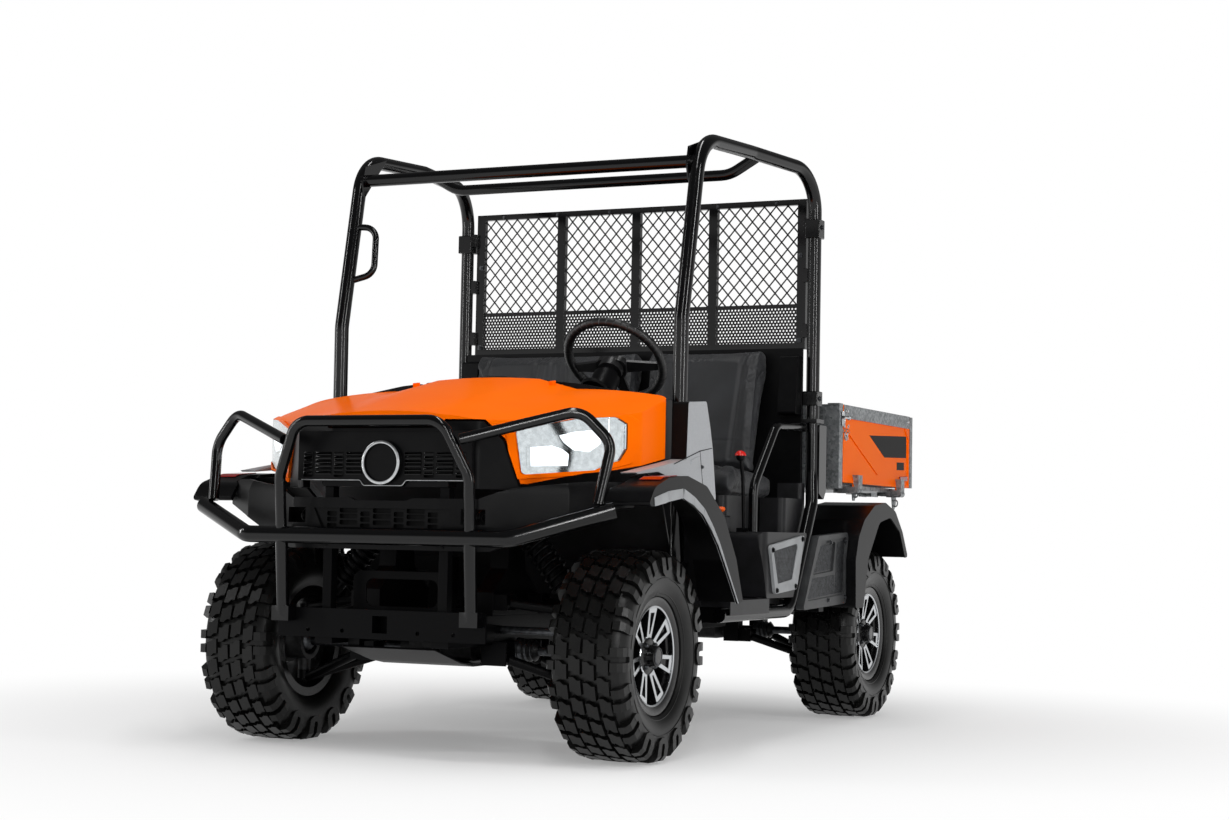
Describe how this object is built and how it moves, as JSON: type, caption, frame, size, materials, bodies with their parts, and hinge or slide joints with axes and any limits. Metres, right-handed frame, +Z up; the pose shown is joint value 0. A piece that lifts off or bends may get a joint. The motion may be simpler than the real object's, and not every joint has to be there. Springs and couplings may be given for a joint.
{
  "type": "side by side utility vehicle",
  "caption": "Utility vehicle with tube guard, roll cage, bench cab and tipping drop-side cargo bed.",
  "frame": {"origin": "on the floor at the middle of the overall length and width", "axes": "+Z up, the vehicle faces -Y and its left (driver) side is +X"},
  "size_m": [1.6, 3.01, 2.02],
  "materials": {
    "chassis_paint": "satin",
    "cage_paint": "satin",
    "guard_paint": "gloss",
    "moulded_black": "textured",
    "moulded_grey": "textured",
    "grille_grey": "textured",
    "orange_panel": "gloss",
    "silver_panel": "satin",
    "lamp_lens": "clear",
    "cast_metal": "matte",
    "axle_steel": "satin",
    "shock_body": "gloss",
    "bright_rod": "polished",
    "tyre_rubber": "matte",
    "wheel_alloy": "machined",
    "grip_rubber": "matte",
    "seat_vinyl": "grained",
    "screen_wire": "satin",
    "bed_zinc": "galvanised",
    "bed_orange": "gloss"
  },
  "bodies": {
    "chassis": {"frame": "chassis_paint", "cross_members": "chassis_paint", "front_subframe": "chassis_paint", "rear_subframe": "chassis_paint", "rear_hitch": "chassis_paint", "skid_plate": "moulded_black", "powertrain": "cast_metal", "suspension_arms": "chassis_paint", "shock_absorbers": "shock_body", "half_shafts": "axle_steel", "rear_uprights": "cast_metal", "front_guard": "guard_paint", "guard_plate": "chassis_paint", "grille": "moulded_black", "front_fascia": "moulded_black", "front_fenders": "moulded_black", "cowl_sides": "silver_panel", "dash": "moulded_black", "floor_pan": "moulded_grey", "seat_base": "moulded_grey", "side_pods": "moulded_grey", "pod_grilles": "grille_grey", "rear_bulkhead": "moulded_black", "seat_cushions": "seat_vinyl", "seat_backrests": "seat_vinyl", "steering_column": "moulded_black", "roll_cage": "cage_paint", "side_bars": "cage_paint", "screen_frame": "cage_paint", "screen_mesh": "screen_wire", "belt_covers": "moulded_black", "levers": "moulded_black", "rear_side_panels": "moulded_grey", "rear_fenders": "moulded_black"},
    "hood": {"hood": "orange_panel", "headlights": "lamp_lens"},
    "steering_wheel": {"steering_wheel": "grip_rubber"},
    "knuckle_left": {"knuckle_left": "cast_metal"},
    "knuckle_right": {"knuckle_right": "cast_metal"},
    "steering_rack": {"tie_rods": "axle_steel"},
    "bed": {"bed_floor": "bed_zinc"},
    "bed_side_left": {"bed_side_left": "bed_orange"},
    "bed_side_right": {"bed_side_right": "bed_orange"},
    "tailgate": {"tailgate": "bed_zinc"},
    "lift_barrel": {"lift_barrel": "shock_body"},
    "lift_rod": {"lift_rod": "bright_rod"},
    "road_wheel_front_left": {"tyre_front_left": "tyre_rubber", "wheel_front_left": "wheel_alloy"},
    "road_wheel_front_right": {"tyre_front_right": "tyre_rubber", "wheel_front_right": "wheel_alloy"},
    "road_wheel_rear_left": {"tyre_rear_left": "tyre_rubber", "wheel_rear_left": "wheel_alloy"},
    "road_wheel_rear_right": {"tyre_rear_right": "tyre_rubber", "wheel_rear_right": "wheel_alloy"}
  },
  "joints": [
    {"name": "steer_left", "type": "hinge", "parent": "chassis", "child": "knuckle_left", "pos_m": [0.54, -0.965, 0.32], "axis": [0, 0, 1], "range_deg": [-27, 27]},
    {"name": "steer_right", "type": "hinge", "parent": "chassis", "child": "knuckle_right", "pos_m": [-0.54, -0.965, 0.32], "axis": [0, 0, 1], "range_deg": [-27, 27]},
    {"name": "steering_wheel_turn", "type": "hinge", "parent": "chassis", "child": "steering_wheel", "pos_m": [0.3, -0.425, 1.262], "axis": [0, 0.7071, 0.7071], "range_deg": [-540, 540]},
    {"name": "rack_slide", "type": "slide", "parent": "chassis", "child": "steering_rack", "axis": [1, 0, 0], "range_m": [-0.0405, 0.0405]},
    {"name": "spin_front_left", "type": "hinge", "parent": "knuckle_left", "child": "road_wheel_front_left", "pos_m": [0.6125, -0.965, 0.32], "axis": [1, 0, 0], "continuous": true},
    {"name": "spin_front_right", "type": "hinge", "parent": "knuckle_right", "child": "road_wheel_front_right", "pos_m": [-0.6125, -0.965, 0.32], "axis": [1, 0, 0], "continuous": true},
    {"name": "spin_rear_left", "type": "hinge", "parent": "chassis", "child": "road_wheel_rear_left", "pos_m": [0.6125, 1.045, 0.32], "axis": [1, 0, 0], "continuous": true},
    {"name": "spin_rear_right", "type": "hinge", "parent": "chassis", "child": "road_wheel_rear_right", "pos_m": [-0.6125, 1.045, 0.32], "axis": [1, 0, 0], "continuous": true},
    {"name": "hood_lid", "type": "hinge", "parent": "chassis", "child": "hood", "pos_m": [0, -0.7, 1.15], "axis": [-1, 0, 0], "range_deg": [0, 50]},
    {"name": "bed_tilt", "type": "hinge", "parent": "chassis", "child": "bed", "pos_m": [0, 1.39, 0.806], "axis": [-1, 0, 0], "range_deg": [0, 45]},
    {"name": "side_drop_left", "type": "hinge", "parent": "bed", "child": "bed_side_left", "pos_m": [0.742, 1.05, 0.862], "axis": [0, 1, 0], "range_deg": [0, 90]},
    {"name": "side_drop_right", "type": "hinge", "parent": "bed", "child": "bed_side_right", "pos_m": [-0.742, 1.05, 0.862], "axis": [0, -1, 0], "range_deg": [0, 90]},
    {"name": "tailgate_drop", "type": "hinge", "parent": "bed", "child": "tailgate", "pos_m": [0, 1.497, 0.862], "axis": [-1, 0, 0], "range_deg": [0, 90]},
    {"name": "lift_swing", "type": "hinge", "parent": "chassis", "child": "lift_barrel", "pos_m": [0, 0.96, 0.592], "axis": [1, 0, 0], "range_deg": [0, 5]},
    {"name": "lift_stroke", "type": "slide", "parent": "lift_barrel", "child": "lift_rod", "axis": [0, 0.7264, 0.6873], "range_m": [0, 0.127]}
  ],
  "couplings": [
    {"joint": "steer_right", "follows": "steer_left", "ratio": 1},
    {"joint": "steering_wheel_turn", "follows": "steer_left", "ratio": 20},
    {"joint": "rack_slide", "follows": "steer_left", "m_per_rad": 0.085},
    {"joint": "lift_swing", "follows": "bed_tilt", "ratio": 0.1075},
    {"joint": "lift_stroke", "follows": "bed_tilt", "m_per_rad": 0.1608}
  ]
}
